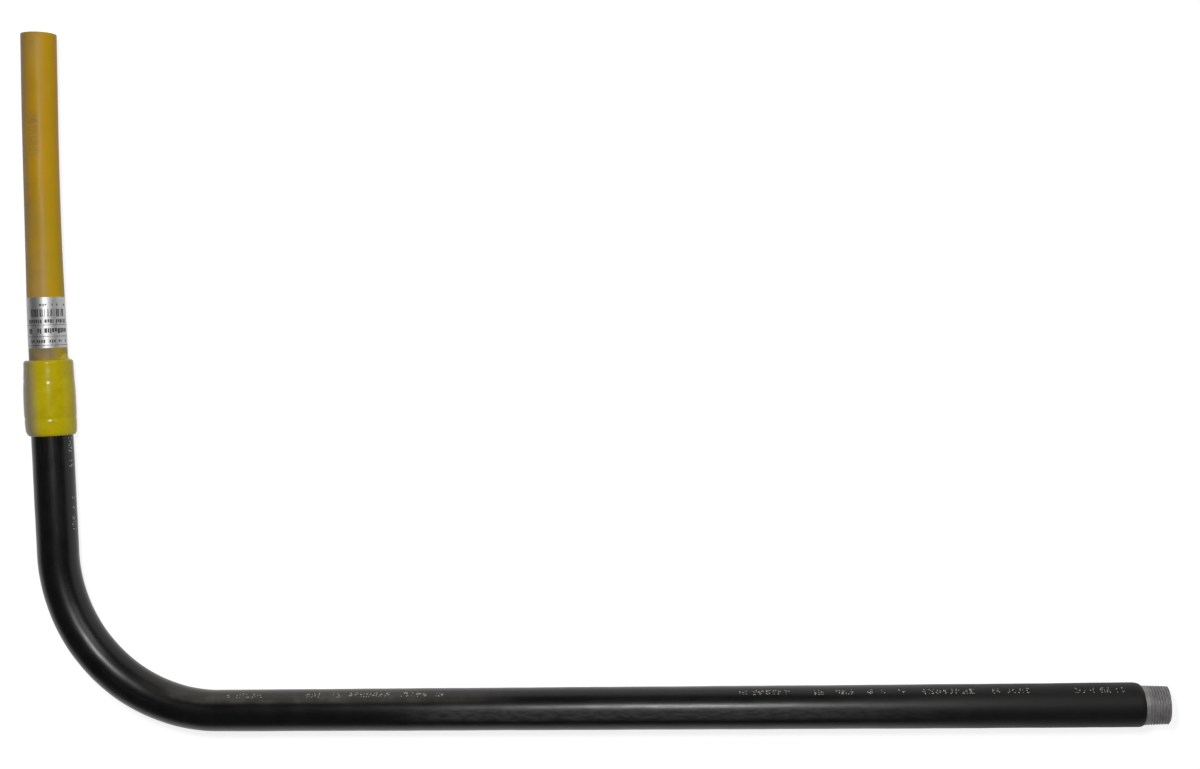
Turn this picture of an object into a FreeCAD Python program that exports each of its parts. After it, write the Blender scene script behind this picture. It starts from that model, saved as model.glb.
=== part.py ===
"""Threaded gas elbow: a bent, coated steel pipe with a taper thread, crimped to a polyethylene stub.

The elbow lies flat. The origin is the centre of the threaded end's face. +X runs out of the threaded end
along the long leg, the short leg stands off along +Y, and +Z is up. All lengths are in millimetres.
"""
import FreeCAD
import Part

import math
import os

# Legs, from the point where the two leg axes cross
LONG_LEG = 1000.0            # to the threaded end's face
STEEL_LEG = 282.0            # short leg, to the steel pipe's end inside the joint
BEND_RADIUS = 150.0          # to the pipe's axis

# Steel pipe, one inch nominal
STEEL_OD = 33.7
STEEL_WALL = 3.2
BORE_CHAMFER = 0.6

# Taper thread on the pipe's end, its crests turned to a cone
THREAD_TAPER = 1.0 / 16.0    # on the diameter
GAUGE_LENGTH = 10.4          # from the end's face to the gauge plane
GAUGE_STOCK = 0.2255         # taken off the pipe's radius at the gauge plane
THREAD_CHAMFER = 0.5

# Black coat
COAT_WALL = 2.0
BARE_LENGTH = 20.5           # steel left bare at the threaded end
COAT_END_TAPER = 6.0         # length over which the coat's end comes down to the steel
COAT_END_LIP = 0.35          # what is left of the coat's wall at its very end
COAT_GAP = 1.0               # coat's other end to the crimp sleeve

# Polyethylene stub
STUB_OD = 32.0
STUB_WALL = 3.0
STUB_FREE_LENGTH = 302.0     # above the joint cover
STUB_END_STRAIGHT = 52.0     # straight run at the free end, for a socket
STUB_SET_ANGLE = 1.95        # degrees that the stub curves towards the long leg
STUB_END_CHAMFER = 0.5

# Spigot nipple: a tail in the steel pipe, a shoulder, and a toothed spigot in the stub
TAIL_LENGTH = 12.0
TAIL_CLEARANCE = 0.05
TAIL_LEAD = 1.0
SHOULDER_WIDTH = 3.0
SPIGOT_LENGTH = 40.0
SPIGOT_LEAD = 1.6
TOOTH_HEIGHT = 0.5
TOOTH_PITCH = 3.6
TOOTH_CREST = 0.5
LOWER_TEETH = 4
UPPER_TEETH = 2
TOOTH_START = 2.0            # shoulder to the first tooth
RING_GROOVE_WIDTH = 3.2
RING_LAND = 1.5              # plain land each side of a ring groove
RING_HEIGHT = 2.1            # sealing ring as squeezed
RING_WIDTH = 2.7
RING_FLAT = 0.5              # share of the width that is squeezed flat
NIPPLE_WALL = 1.4            # under the ring grooves
WELD_BEVEL = 1.5

# Crimp sleeve over both pipes
SLEEVE_LENGTH = 62.0
SLEEVE_LAP = 16.5            # over the steel pipe
SLEEVE_WALL = 3.95
SLEEVE_CLEARANCE = 0.1
SLEEVE_SWAGE_GAP = 1.0       # shoulder to the step down onto the stub
SLEEVE_SWAGE = 5.0           # length of that step
CRIMP_OFFSET_LOWER = 11.0    # sleeve's lower end to the crimp that locks on the steel
CRIMP_OFFSET_UPPER = 46.0    # sleeve's lower end to the middle crimp on the stub
CRIMP_SPACING = 7.5          # between the three crimps on the stub
CRIMP_WIDTH = 3.0
CRIMP_DEPTH = 0.8            # groove in the steel pipe
CRIMP_BITE = 0.4             # inner bead into the stub
CRIMP_DENT = 0.45            # groove left on the sleeve's outside
SLEEVE_EDGE = 0.8

# Yellow joint cover
COVER_WALL = 1.8             # over the sleeve's lower half
COVER_THIN_WALL = 1.45       # over its upper end
COVER_BARREL = 0.3           # drop in radius towards the lower shoulder
COVER_SKIRT = 5.0            # over the coat, below the crimp sleeve
COVER_SKIRT_WALL = 1.4
COVER_TOP_WALL = 1.8
COVER_SHOULDER = 5.0         # height of the rounded lower shoulder
COVER_DENT = 0.22            # what shows of a crimp through the cover
COVER_RIM_WIDTH = 2.6
COVER_RIM_HEIGHT = 0.25
COVER_EDGE = 0.7
RUN_HEIGHT = 8.5             # run of cover material up the stub
RUN_REACH = 6.6
RUN_ANGLE = -3.0             # degrees up from +X
RUN_TIP = 0.7

# Foil label round the stub
LABEL_GAP = 12.5             # above the cover
LABEL_HEIGHT = 47.0
LABEL_FOIL = 0.12
LABEL_GLUE = 0.05
LABEL_OPENING = 10.0         # degrees left open underneath

MARGIN = 1.0                 # how far a cutting form stands past what it cuts

V = FreeCAD.Vector
UP = V(0, 0, 1)

steel_r = STEEL_OD / 2
steel_bore_r = steel_r - STEEL_WALL
coat_r = steel_r + COAT_WALL
stub_r = STUB_OD / 2
stub_bore_r = stub_r - STUB_WALL
crossing = V(-LONG_LEG, 0, 0)

# Heights up the short leg, from the crossing of the leg axes
shoulder_top = STEEL_LEG + SHOULDER_WIDTH
spigot_tip = shoulder_top + SPIGOT_LENGTH
sleeve_bottom = STEEL_LEG - SLEEVE_LAP
sleeve_top = sleeve_bottom + SLEEVE_LENGTH
coat_top = sleeve_bottom - COAT_GAP
cover_bottom = sleeve_bottom - COVER_SKIRT
cover_top = sleeve_top + COVER_TOP_WALL
crimp_lower = sleeve_bottom + CRIMP_OFFSET_LOWER
crimp_middle = sleeve_bottom + CRIMP_OFFSET_UPPER
stub_crimps = [crimp_middle + step * CRIMP_SPACING for step in (-1, 0, 1)]


class Run:
    """A pipe's axis in the XY plane, of straights and bends, measured from its start."""

    def __init__(self, start, heading):
        self.start = start
        self.heading = heading
        self.parts = []
        self.length = 0.0

    def straight(self, length):
        self.parts.append((self.length, length, 0.0))
        self.length += length
        return self

    def bend(self, radius, angle):
        """Turns by angle degrees, to the left where it is positive."""
        length = radius * math.radians(abs(angle))
        self.parts.append((self.length, length, math.copysign(1.0 / radius, angle)))
        self.length += length
        return self

    def at(self, station):
        """Point and heading, in degrees from +X, at a station."""
        point, heading = self.start, self.heading
        for begin, length, curve in self.parts:
            step = min(max(station - begin, 0.0), length)
            if curve:
                turn = math.degrees(step * curve)
                centre = point + direction(heading + 90.0) * (1.0 / curve)
                point = centre - direction(heading + turn + 90.0) * (1.0 / curve)
                heading += turn
            else:
                point = point + direction(heading) * step
        return point, heading

    def tube(self, outer_r, inner_r, begin_at, end_at):
        """Solid between two stations. An inner radius of 0 gives a rod."""
        solids = []
        for begin, length, curve in self.parts:
            first, last = max(begin_at, begin), min(end_at, begin + length)
            if last - first < 1e-6:
                continue
            point, heading = self.at(first)
            section = disc(point, direction(heading), outer_r, inner_r)
            if curve:
                centre = point + direction(heading + 90.0) * (1.0 / curve)
                solids.append(section.revolve(centre, UP, math.degrees((last - first) * curve)))
            else:
                solids.append(section.extrude(direction(heading) * (last - first)))
        whole = solids[0] if len(solids) == 1 else solids[0].multiFuse(solids[1:])
        return whole.removeSplitter()


def direction(degrees):
    return V(math.cos(math.radians(degrees)), math.sin(math.radians(degrees)), 0)


def disc(centre, normal, outer_r, inner_r):
    """Flat ring or disc."""
    outer = Part.Face(Part.Wire(Part.makeCircle(outer_r, centre, normal)))
    if inner_r <= 0:
        return outer
    inner = Part.Face(Part.Wire(Part.makeCircle(inner_r, centre, normal)))
    return outer.cut(inner).Faces[0]


def turned(profile, base, heading):
    """Revolves a closed profile of (radius, station) points about the axis from base along heading.

    A point with four numbers ends an arc: radius and station on the way, then radius and station at its end.
    """
    edges = []
    first = last = V(profile[0][0], 0, profile[0][1])
    for entry in profile[1:]:
        point = V(entry[-2], 0, entry[-1])
        if len(entry) == 4:
            edges.append(Part.Arc(last, V(entry[0], 0, entry[1]), point).toShape())
        elif (point - last).Length > 1e-7:
            edges.append(Part.LineSegment(last, point).toShape())
        last = point
    if (first - last).Length > 1e-7:
        edges.append(Part.LineSegment(last, first).toShape())
    solid = Part.Face(Part.Wire(edges)).revolve(V(0, 0, 0), UP, 360)
    solid.Placement = FreeCAD.Placement(base, FreeCAD.Rotation(UP, direction(heading)))
    return solid


def on_short_leg(profile):
    """Turned piece on the short leg's axis, with stations as heights from the crossing."""
    return turned(profile, crossing, 90.0)


def on_long_leg(profile):
    """Turned piece on the long leg's axis, with stations as distances from the threaded end's face."""
    return turned(profile, V(0, 0, 0), 180.0)


def quarter(start, end):
    """Arc entry for a profile: it leaves start along the radius and reaches end along the axis."""
    share = math.sqrt(0.5)
    return (start[0] + share * (end[0] - start[0]), start[1] + (1 - share) * (end[1] - start[1])) + end


steel_run = Run(V(0, 0, 0), 180.0)
steel_run.straight(LONG_LEG - BEND_RADIUS).bend(BEND_RADIUS, -90.0).straight(STEEL_LEG - BEND_RADIUS)

set_length = STUB_FREE_LENGTH - STUB_END_STRAIGHT
stub_run = Run(crossing + V(0, shoulder_top, 0), 90.0)
stub_run.straight(cover_top - shoulder_top)
stub_run.bend(set_length / math.radians(STUB_SET_ANGLE), -STUB_SET_ANGLE).straight(STUB_END_STRAIGHT)


def make_steel_pipe():
    """Bent pipe, its one end turned to the thread's cone, the other grooved for the crimp and bevelled."""
    pipe = steel_run.tube(steel_r, steel_bore_r, 0, steel_run.length)
    slope = THREAD_TAPER / 2
    end_r = steel_r - GAUGE_STOCK - GAUGE_LENGTH * slope
    cone_length = (steel_r - end_r) / slope
    outside = steel_r + MARGIN
    chamfer_r = end_r + THREAD_CHAMFER * slope
    thread_stock = on_long_leg([(end_r - THREAD_CHAMFER, -MARGIN), (end_r - THREAD_CHAMFER, 0),
                                (chamfer_r, THREAD_CHAMFER), (steel_r, cone_length), (outside, cone_length),
                                (outside, -MARGIN)])
    bore_edge = on_long_leg([(steel_bore_r - MARGIN, -MARGIN), (steel_bore_r + BORE_CHAMFER, -MARGIN),
                             (steel_bore_r + BORE_CHAMFER, 0), (steel_bore_r, BORE_CHAMFER),
                             (steel_bore_r - MARGIN, BORE_CHAMFER)])
    half, floor_r = CRIMP_WIDTH / 2, steel_r - CRIMP_DEPTH
    mouth = half + outside - floor_r
    groove = on_short_leg([(outside, crimp_lower - mouth), (floor_r, crimp_lower - half),
                           (floor_r, crimp_lower + half), (outside, crimp_lower + mouth)])
    bevel = on_short_leg([(steel_r - WELD_BEVEL, STEEL_LEG), (outside, STEEL_LEG - WELD_BEVEL - MARGIN),
                          (outside, STEEL_LEG + MARGIN), (steel_r - WELD_BEVEL, STEEL_LEG + MARGIN)])
    return pipe.cut([thread_stock, bore_edge, groove, bevel])


def make_pipe_coating():
    """Coat on the pipe, from the joint to the bare end, where it is rounded down to the steel."""
    last = steel_run.length - (STEEL_LEG - coat_top)
    coat = steel_run.tube(coat_r, steel_r, BARE_LENGTH, last)
    outside = coat_r + MARGIN
    lip = (steel_r + COAT_END_LIP, BARE_LENGTH)
    full = (coat_r, BARE_LENGTH + COAT_END_TAPER)
    rounding = on_long_leg([lip, quarter(lip, full), (outside, full[1]), (outside, BARE_LENGTH - MARGIN),
                            (lip[0], BARE_LENGTH - MARGIN)])
    return coat.cut(rounding)


def teeth(count, station):
    """Saw teeth: a steep face towards the shoulder, which holds the stub, then a ramp."""
    points = []
    for number in range(count):
        root = station + number * TOOTH_PITCH
        crest_r = stub_bore_r + TOOTH_HEIGHT
        points += [(stub_bore_r, root), (crest_r, root), (crest_r, root + TOOTH_CREST),
                   (stub_bore_r, root + TOOTH_PITCH)]
    return points


lower_ring = shoulder_top + TOOTH_START + LOWER_TEETH * TOOTH_PITCH + RING_LAND + RING_GROOVE_WIDTH / 2
upper_teeth_start = lower_ring + RING_GROOVE_WIDTH / 2 + RING_LAND
upper_ring = upper_teeth_start + UPPER_TEETH * TOOTH_PITCH + RING_LAND + RING_GROOVE_WIDTH / 2
ring_floor_r = stub_bore_r - RING_HEIGHT


def ring_groove(centre):
    half = RING_GROOVE_WIDTH / 2
    return [(stub_bore_r, centre - half), (ring_floor_r, centre - half),
            (ring_floor_r, centre + half), (stub_bore_r, centre + half)]


def make_spigot_nipple():
    """Turned nipple, with the weld bevel on its shoulder and two ring grooves among the teeth."""
    bore_r = ring_floor_r - NIPPLE_WALL
    tail_r = steel_bore_r - TAIL_CLEARANCE
    tail_end = STEEL_LEG - TAIL_LENGTH
    flare = tail_r - TAIL_LEAD - bore_r
    profile = [(bore_r, tail_end + flare), (bore_r + flare, tail_end), (tail_r - TAIL_LEAD / 2, tail_end),
               (tail_r, tail_end + TAIL_LEAD), (tail_r, STEEL_LEG), (steel_r - WELD_BEVEL, STEEL_LEG),
               (steel_r, STEEL_LEG + WELD_BEVEL), (steel_r, shoulder_top)]
    profile += [(stub_bore_r, shoulder_top)]
    profile += teeth(LOWER_TEETH, shoulder_top + TOOTH_START) + ring_groove(lower_ring)
    profile += teeth(UPPER_TEETH, upper_teeth_start) + ring_groove(upper_ring)
    profile += [(stub_bore_r, spigot_tip - SPIGOT_LEAD), (stub_bore_r - SPIGOT_LEAD / 2, spigot_tip),
                (bore_r, spigot_tip)]
    return on_short_leg(profile)


def make_weld_bead():
    """Ring that fills the two bevels, dressed flush with the pipe."""
    return on_short_leg([(steel_r - WELD_BEVEL, STEEL_LEG), (steel_r, STEEL_LEG - WELD_BEVEL),
                         (steel_r, STEEL_LEG + WELD_BEVEL)])


def make_sealing_ring(centre):
    """Rubber ring squeezed flat between its groove's floor and the stub's bore."""
    half = RING_WIDTH / 2
    flat = half * RING_FLAT
    mid_r = ring_floor_r + RING_HEIGHT / 2
    return on_short_leg([(ring_floor_r, centre - flat), (ring_floor_r, centre + flat), (mid_r, centre + half),
                         (stub_bore_r, centre + flat), (stub_bore_r, centre - flat), (mid_r, centre - half)])


swage_start = shoulder_top + SLEEVE_SWAGE_GAP
sleeve_lower_r = steel_r + SLEEVE_CLEARANCE + SLEEVE_WALL
sleeve_upper_r = stub_r + SLEEVE_WALL + CRIMP_DENT


def dent(radius, centre, half_width, depth):
    """Shallow ring pressed into a turned surface."""
    return [(radius, centre - half_width), (radius - depth, centre), (radius, centre + half_width)]


def sleeve_outside():
    """Outer profile of the crimp sleeve, from its lower end up."""
    points = [(sleeve_lower_r - SLEEVE_EDGE, sleeve_bottom), (sleeve_lower_r, sleeve_bottom + SLEEVE_EDGE)]
    half = CRIMP_WIDTH / 2
    points += dent(sleeve_lower_r, crimp_lower, half, CRIMP_DENT)
    points += [(sleeve_lower_r, swage_start + SLEEVE_SWAGE), (sleeve_upper_r, swage_start + 2 * SLEEVE_SWAGE)]
    for centre in stub_crimps:
        points += dent(sleeve_upper_r, centre, half, CRIMP_DENT)
    points += [(sleeve_upper_r, sleeve_top - SLEEVE_EDGE), (sleeve_upper_r - SLEEVE_EDGE, sleeve_top)]
    return points


def make_crimp_sleeve():
    """Steel sleeve, locked in the pipe's groove and pressed onto the stub by three beads."""
    half = CRIMP_WIDTH / 2
    lower_bore_r = steel_r + SLEEVE_CLEARANCE
    bead_r = lower_bore_r - CRIMP_DEPTH
    inside = [(stub_r, sleeve_top)]
    for centre in reversed(stub_crimps):
        inside += [(stub_r, centre + half), (stub_r - CRIMP_BITE, centre + half / 2),
                   (stub_r - CRIMP_BITE, centre - half / 2), (stub_r, centre - half)]
    inside += [(stub_r, swage_start + SLEEVE_SWAGE), (lower_bore_r, swage_start),
               (lower_bore_r, crimp_lower + half + CRIMP_DEPTH / 2), (bead_r, crimp_lower + half / 2),
               (bead_r, crimp_lower - half / 2), (lower_bore_r, crimp_lower - half - CRIMP_DEPTH / 2),
               (lower_bore_r, sleeve_bottom)]
    return on_short_leg(sleeve_outside() + inside)


def make_stub(nipple, sleeve):
    """Stub pushed to the shoulder, its wall pressed into the nipple's teeth and the sleeve's beads."""
    stub = stub_run.tube(stub_r, stub_bore_r, 0, stub_run.length)
    end, heading = stub_run.at(stub_run.length)
    outside, edge_r = stub_r + MARGIN, stub_r - STUB_END_CHAMFER
    end_edge = turned([(edge_r, 0), (outside, -STUB_END_CHAMFER - MARGIN), (outside, MARGIN),
                       (edge_r, MARGIN)], end, heading)
    return stub.cut([nipple, sleeve, end_edge])


def make_joint_cover(sleeve_envelope):
    """Moulded cover over the crimp sleeve, with a skirt on the coat and a run up the stub."""
    skirt_r = coat_r + COVER_SKIRT_WALL
    lower_r = sleeve_lower_r + COVER_WALL
    upper_r = sleeve_upper_r + COVER_THIN_WALL
    skirt = (skirt_r, cover_bottom)
    shoulder = (lower_r - COVER_BARREL, cover_bottom + COVER_SHOULDER)
    rim_r = upper_r + COVER_RIM_HEIGHT
    rim_start = cover_top - COVER_RIM_WIDTH
    widest = swage_start + SLEEVE_SWAGE
    crimp_r = lower_r + (upper_r - lower_r) * (crimp_middle - widest) / (rim_start - widest)
    profile = [(0, cover_bottom), skirt, quarter(skirt, shoulder)]
    profile += dent(lower_r, crimp_lower, CRIMP_WIDTH, COVER_DENT) + [(lower_r, widest)]
    profile += dent(crimp_r, crimp_middle, CRIMP_WIDTH, COVER_DENT)
    profile += [(upper_r, rim_start - COVER_RIM_HEIGHT), (rim_r, rim_start),
                (rim_r, cover_top - COVER_EDGE), (rim_r - COVER_EDGE, cover_top), (0, cover_top)]
    cover = on_short_leg(profile)
    side = V(math.cos(math.radians(RUN_ANGLE)), 0, math.sin(math.radians(RUN_ANGLE)))
    foot = COVER_TOP_WALL / 2
    run_foot, run_tip = (RUN_REACH, 0), (RUN_TIP, RUN_HEIGHT)
    run = turned([(0, -foot), (RUN_REACH, -foot), run_foot, quarter(run_foot, run_tip), (0, RUN_HEIGHT)],
                 crossing + V(0, cover_top, 0) + side * stub_r, 90.0)
    cover = cover.fuse(run)
    coat = on_short_leg([(0, cover_bottom - MARGIN), (coat_r, cover_bottom - MARGIN), (coat_r, sleeve_bottom),
                         (0, sleeve_bottom)])
    stub = stub_run.tube(stub_r, 0, 0, stub_run.length)
    return cover.cut([sleeve_envelope, coat, stub])


def make_foil_label():
    """Foil wrapped round the stub, with its two ends apart underneath."""
    first = (cover_top - shoulder_top) + LABEL_GAP
    inner_r = stub_r + LABEL_GLUE
    foil = stub_run.tube(inner_r + LABEL_FOIL, inner_r, first, first + LABEL_HEIGHT)
    point, heading = stub_run.at(first)
    half_gap = stub_r * math.tan(math.radians(LABEL_OPENING / 2))
    below = inner_r + LABEL_FOIL + MARGIN
    gap = Part.makeBox(2 * half_gap, LABEL_HEIGHT + 2 * MARGIN, below, V(-half_gap, -MARGIN, -below))
    gap.Placement = FreeCAD.Placement(point, FreeCAD.Rotation(UP, heading - 90.0))
    return foil.cut(gap)


def build():
    """All pieces by name."""
    nipple = make_spigot_nipple()
    sleeve = make_crimp_sleeve()
    envelope = on_short_leg([(0, sleeve_bottom)] + sleeve_outside() + [(0, sleeve_top)])
    return {
        "steel_pipe": make_steel_pipe(),
        "pipe_coating": make_pipe_coating(),
        "spigot_nipple": nipple,
        "weld_bead": make_weld_bead(),
        "sealing_ring_lower": make_sealing_ring(lower_ring),
        "sealing_ring_upper": make_sealing_ring(upper_ring),
        "crimp_sleeve": sleeve,
        "stub_pipe": make_stub(nipple, sleeve),
        "joint_cover": make_joint_cover(envelope),
        "foil_label": make_foil_label(),
    }


def single_solid(name, shape):
    """The one closed solid of a piece. Anything else is an error in the model."""
    solids = shape.Solids
    if len(solids) != 1 or not solids[0].isValid():
        raise ValueError(f"{name} is not one valid solid: {len(solids)} solids")
    return solids[0]


os.makedirs("parts", exist_ok=True)
for node, piece in build().items():
    solid = single_solid(node, piece)
    solid.exportStep(f"parts/{node}.step")
    box = solid.BoundBox
    print(f"{node}: {solid.Volume / 1000:.2f} cm3, x {box.XMin:.1f} to {box.XMax:.1f}, "
          f"y {box.YMin:.1f} to {box.YMax:.1f}, z {box.ZMin:.1f} to {box.ZMax:.1f}")
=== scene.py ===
"""Looks of the threaded gas elbow, built round its packed solids. All lengths are in metres."""

import math
import random

import bmesh
import bpy
import numpy as np
from bpy.props import FloatProperty, FloatVectorProperty, IntProperty, PointerProperty
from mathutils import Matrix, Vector


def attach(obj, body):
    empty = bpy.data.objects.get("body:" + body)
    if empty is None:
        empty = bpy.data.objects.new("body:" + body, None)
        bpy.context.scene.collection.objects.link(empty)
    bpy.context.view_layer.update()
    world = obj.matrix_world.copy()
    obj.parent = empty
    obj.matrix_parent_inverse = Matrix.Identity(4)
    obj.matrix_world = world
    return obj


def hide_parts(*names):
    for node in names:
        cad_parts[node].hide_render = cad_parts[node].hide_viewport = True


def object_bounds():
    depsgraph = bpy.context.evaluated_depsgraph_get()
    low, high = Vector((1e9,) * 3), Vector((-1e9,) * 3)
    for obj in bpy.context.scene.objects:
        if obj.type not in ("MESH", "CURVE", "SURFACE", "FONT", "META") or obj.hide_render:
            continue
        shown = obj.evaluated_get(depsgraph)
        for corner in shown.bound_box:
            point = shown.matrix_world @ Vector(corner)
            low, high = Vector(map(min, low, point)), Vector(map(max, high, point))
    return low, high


bl_info = {
    "name": "Threaded gas elbow",
    "version": (1, 0, 0),
    "blender": (4, 5, 0),
    "location": "3D View > Sidebar > Elbow",
    "description": "Dresses a coated steel gas elbow with its thread, coat, joint cover, stub and label",
    "category": "Object",
}

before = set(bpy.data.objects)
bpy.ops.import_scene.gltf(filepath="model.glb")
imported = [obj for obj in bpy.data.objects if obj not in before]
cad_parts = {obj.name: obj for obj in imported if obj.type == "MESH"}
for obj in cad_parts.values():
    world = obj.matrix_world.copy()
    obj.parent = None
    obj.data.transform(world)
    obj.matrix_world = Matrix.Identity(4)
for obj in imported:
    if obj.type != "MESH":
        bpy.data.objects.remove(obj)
cad_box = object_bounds()

MM = 0.001
TURN = 2 * math.pi
STRAIGHT_STEP = 60 * MM
BEND_STEP = 6 * MM


def colour(name, description, default):
    return FloatVectorProperty(name=name, description=description, subtype="COLOR", size=3,
                               min=0.0, max=1.0, default=default)


def length(name, description, default):
    return FloatProperty(name=name, description=description, unit="LENGTH", precision=5, default=default)


def share(name, description, default):
    return FloatProperty(name=name, description=description, subtype="FACTOR", min=0.0, max=1.0,
                         default=default)


def angle(name, description, default):
    return FloatProperty(name=name, description=description, subtype="ANGLE", default=math.radians(default))


def power(name, description, default):
    return FloatProperty(name=name, description=description, unit="POWER", default=default)


class ElbowSize(bpy.types.PropertyGroup):
    """Sizes of the run of pipe that all the pieces lie on."""

    long_leg: length("Long leg", "From the crossing of the leg axes to the threaded end", 1.0)
    bend_radius: length("Bend radius", "To the pipe's axis", 0.150)
    steel_leg: length("Steel leg", "From the crossing to the steel pipe's end in the joint", 0.282)
    pipe_radius: length("Pipe radius", "Outside of the steel pipe", 0.01685)
    bore_radius: length("Pipe bore", "Inside of the steel pipe", 0.01365)
    cover_bottom: length("Cover bottom", "Height of the joint cover's lower edge", 0.2604)
    cover_top: length("Cover top", "Height of the joint cover's upper edge", 0.3308)
    set_start: length("Start of the set", "Height from which the stub curves", 0.3293)
    set_length: length("Curved length of stub", "Above the joint cover", 0.250)
    set_angle: angle("Set of stub", "Angle that the stub curves towards the long leg by", 1.95)
    stub_straight: length("Straight end of stub", "At the stub's free end", 0.052)


class ThreadSettings(bpy.types.PropertyGroup):
    """Taper thread on the steel pipe's end."""

    pitch: length("Pitch", "Of the one-inch taper thread", 0.002309)
    depth: length("Depth", "From crest to root", 0.001479)
    end_radius: length("Crest radius at the end", "At the end's face", 0.01630)
    taper: share("Taper", "Growth of the radius along the thread", 1 / 32)
    full_length: length("Full thread", "Where the root starts to run out", 0.0150)
    run_out: length("Run-out", "Length over which the thread fades", 0.0050)
    chamfer: length("End chamfer", "At the end's face", 0.0005)
    colour: colour("Steel", "Bare steel", (0.30, 0.293, 0.290))


class CoatSettings(bpy.types.PropertyGroup):
    """Black coat on the pipe."""

    radius: length("Coat radius", "Outside of the coat", 0.01885)
    bare_length: length("Bare length", "Steel left bare at the threaded end", 0.0205)
    top: length("Coat top", "Height of the coat's other end", 0.2645)
    wander: length("Wander", "How far the coat's surface wanders", 0.00010)
    lift: length("Lift", "How far the coat sits off centre at its bare end", 0.0008)
    thicker: length("Thicker", "How much thicker the coat is on the long leg", 0.00022)
    colour: colour("Coat", "Black polyethylene", (0.0024, 0.0024, 0.0025))
    # Colour of the dusty scuffs and specks; made lighter, it is also the painted sheen near the bend.
    dust_and_sheen: colour("Dust", "Film of dust on the coat", (0.045, 0.042, 0.037))


class PrintSettings(bpy.types.PropertyGroup):
    """Dotted ink marks along the coat."""

    dot: length("Dot", "Radius of an ink dot", 0.00048)
    pitch: length("Dot pitch", "Between dots", 0.00115)
    share: share("Share", "Of the dots that are printed", 0.36)
    thickness: length("Ink thickness", "Height of a dot", 0.00005)
    rows: IntProperty(name="Rows", description="Dots across the line of marks", default=5, min=1, max=9)
    colour: colour("Ink", "Pale ink", (0.60, 0.58, 0.50))
    seed: IntProperty(name="Seed", description="Picks which dots are there", default=11)


class CoverSettings(bpy.types.PropertyGroup):
    """Yellow cover over the joint."""

    skirt_radius: length("Skirt radius", "At the cover's lower edge", 0.01985)
    coat_clearance: length("Skirt bore", "Inside of the skirt", 0.01890)
    sleeve_lower: length("Sleeve, lower", "Outside of the crimp sleeve below its step", 0.02092)
    sleeve_upper: length("Sleeve, upper", "Outside of the crimp sleeve above its step", 0.02042)
    dent: length("Crimp mark", "Depth of the faint rings", 0.00021)
    run_height: length("Run height", "Of the material that runs up the stub", 0.0056)
    run_angle: angle("Run place", "Angle from the inside of the bend towards the top", 1.0)
    run_width: angle("Run width", "Half the angle that the run spans", 24.0)
    colour: colour("Cover", "Yellow plastic", (0.487, 0.387, 0.0015))
    # Colour of the painted sheen and shade on the cover's outer side.
    painted_sheen: colour("Film", "Grey film on the outer side", (0.27, 0.235, 0.175))


class StubSettings(bpy.types.PropertyGroup):
    """Ochre plastic stub."""

    radius: length("Stub radius", "Outside of the stub", 0.0160)
    bore_radius: length("Stub bore", "Inside of the stub", 0.0130)
    flare: length("Flare", "Growth of the radius towards the joint cover", 0.0013)
    flare_length: length("Flare length", "Above the joint cover", 0.155)
    colour: colour("Stub", "Ochre polyethylene", (0.49, 0.272, 0.004))
    shade: colour("Stub shade", "Greener streaks, and the end at the cover", (0.445, 0.305, 0.010))
    # Colour of the painted sheen on the stub's outer side.
    painted_sheen: colour("Film", "Grey film on the outer side", (0.27, 0.205, 0.135))
    # Colour of the painted shade on the stub between label and cover.
    painted_shade_band: colour("Haze", "Grey film on the stub between label and cover", (0.172, 0.156, 0.098))


class LabelSettings(bpy.types.PropertyGroup):
    """Foil label round the stub."""

    bottom: length("Label bottom", "Height of its lower edge", 0.3418)
    height: length("Label height", "Along the stub", 0.047)
    foil: length("Foil", "Thickness", 0.00012)
    glue: length("Glue", "Gap under the foil", 0.00005)
    opening: angle("Opening", "Half the angle left open underneath", 5.0)
    ripple: length("Ripple", "Unevenness of the foil", 0.00005)
    colour: colour("Foil colour", "Satin silver", (0.44, 0.44, 0.44))
    ink: colour("Label ink", "Dark grey print", (0.035, 0.037, 0.038))
    seed: IntProperty(name="Seed", description="Picks the marks in the rows", default=5)


class StudioSettings(bpy.types.PropertyGroup):
    """Camera, lamps and floor."""

    floor: length("Floor", "Height of the floor", cad_box[0].z - 0.0001)
    lens: FloatProperty(name="Lens", description="Focal length in millimetres", default=47.893)
    key_power: power("Key power", "Small lamp beside the camera", 13.0)
    side_power: power("Side power", "Wide lamp to the right", 14.0)
    world: FloatProperty(name="World strength", description="Light from all round", default=0.10)


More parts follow.
